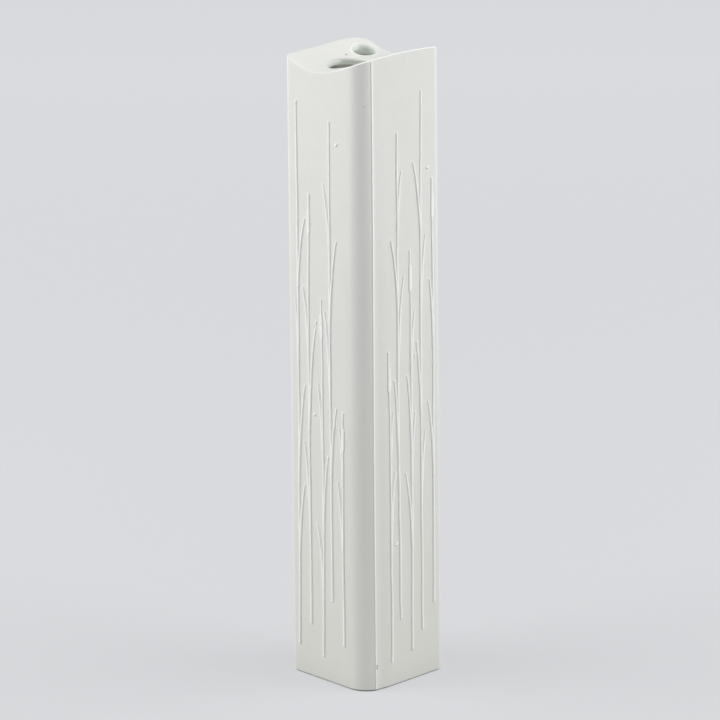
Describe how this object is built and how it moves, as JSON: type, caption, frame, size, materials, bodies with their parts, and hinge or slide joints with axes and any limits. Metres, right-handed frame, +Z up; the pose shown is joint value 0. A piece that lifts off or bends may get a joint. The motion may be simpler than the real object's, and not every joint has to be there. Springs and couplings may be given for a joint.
{
  "type": "vase",
  "caption": "Tall slim square porcelain vase with a wave-shaped closed top, a large and a small round mouth, and thin raised reeds on its sides.",
  "frame": {"origin": "middle of the foot, at the height of the surface that the vase stands on", "axes": "+Z up along the vase. The front face looks along -Y and the right face, which carries the crest of the wave, along +X. The picture looks at the corner between these two"},
  "size_m": [0.0518, 0.0518, 0.3036],
  "materials": {
    "bisque": "matt unglazed white porcelain",
    "raised_slip": "matt white slip threads",
    "glaze": "clear glossy glaze, faintly green where it pools"
  },
  "bodies": {
    "root": {"foot_plate": "bisque", "wall_front_left": "bisque", "wall_rear_right": "bisque", "glaze_lining": "glaze", "wave_cap": "bisque", "front_reed_1": "raised_slip", "front_reed_2": "raised_slip", "front_reed_3": "raised_slip", "front_reed_4": "raised_slip", "front_reed_5": "raised_slip", "right_reed_1": "raised_slip", "right_reed_2": "raised_slip", "right_reed_3": "raised_slip", "right_reed_4": "raised_slip", "right_reed_5": "raised_slip", "rear_reed_1": "raised_slip", "rear_reed_2": "raised_slip", "rear_reed_3": "raised_slip", "rear_reed_4": "raised_slip", "rear_reed_5": "raised_slip", "left_reed_1": "raised_slip", "left_reed_2": "raised_slip", "left_reed_3": "raised_slip", "left_reed_4": "raised_slip", "left_reed_5": "raised_slip"}
  },
  "joints": []
}
